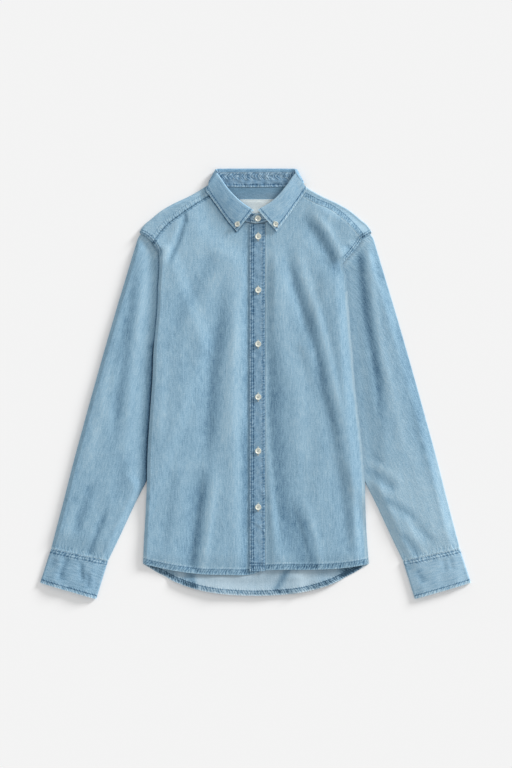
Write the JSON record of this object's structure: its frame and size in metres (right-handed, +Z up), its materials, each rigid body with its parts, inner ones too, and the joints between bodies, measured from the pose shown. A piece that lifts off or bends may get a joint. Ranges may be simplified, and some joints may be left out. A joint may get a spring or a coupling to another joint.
{
  "type": "denim shirt",
  "caption": "Long-sleeved washed denim shirt with a button-down collar and a buttoned front placket, laid flat with its front up.",
  "frame": {"origin": "middle of the bounding box's footprint, on the surface that the shirt lies on", "axes": "+Z up out of the shirt's front, +Y from the hem towards the collar, +X towards the wearer's left sleeve"},
  "size_m": [0.8094, 0.8091, 0.0143],
  "materials": {
    "denim": "washed light blue twill",
    "denim_inside": "paler inner side of the twill",
    "denim_seamed": "darker, puckered twill of the collar, placket and cuffs",
    "label_cotton": "plain woven label, bare",
    "button_resin": "off-white polished resin"
  },
  "bodies": {
    "root": {"back": "denim_inside", "yoke": "denim", "front_right": "denim", "front_left": "denim", "front_band": "denim_seamed", "sleeve_right": "denim", "sleeve_left": "denim", "cuff_right": "denim_seamed", "cuff_left": "denim_seamed", "collar_leaf": "denim_seamed", "collar_stand": "denim_seamed", "neck_label": "label_cotton", "button_front_1": "button_resin", "button_front_2": "button_resin", "button_front_3": "button_resin", "button_front_4": "button_resin", "button_front_5": "button_resin", "button_front_6": "button_resin", "button_stand": "button_resin", "button_collar_left": "button_resin", "button_collar_right": "button_resin"}
  },
  "joints": []
}
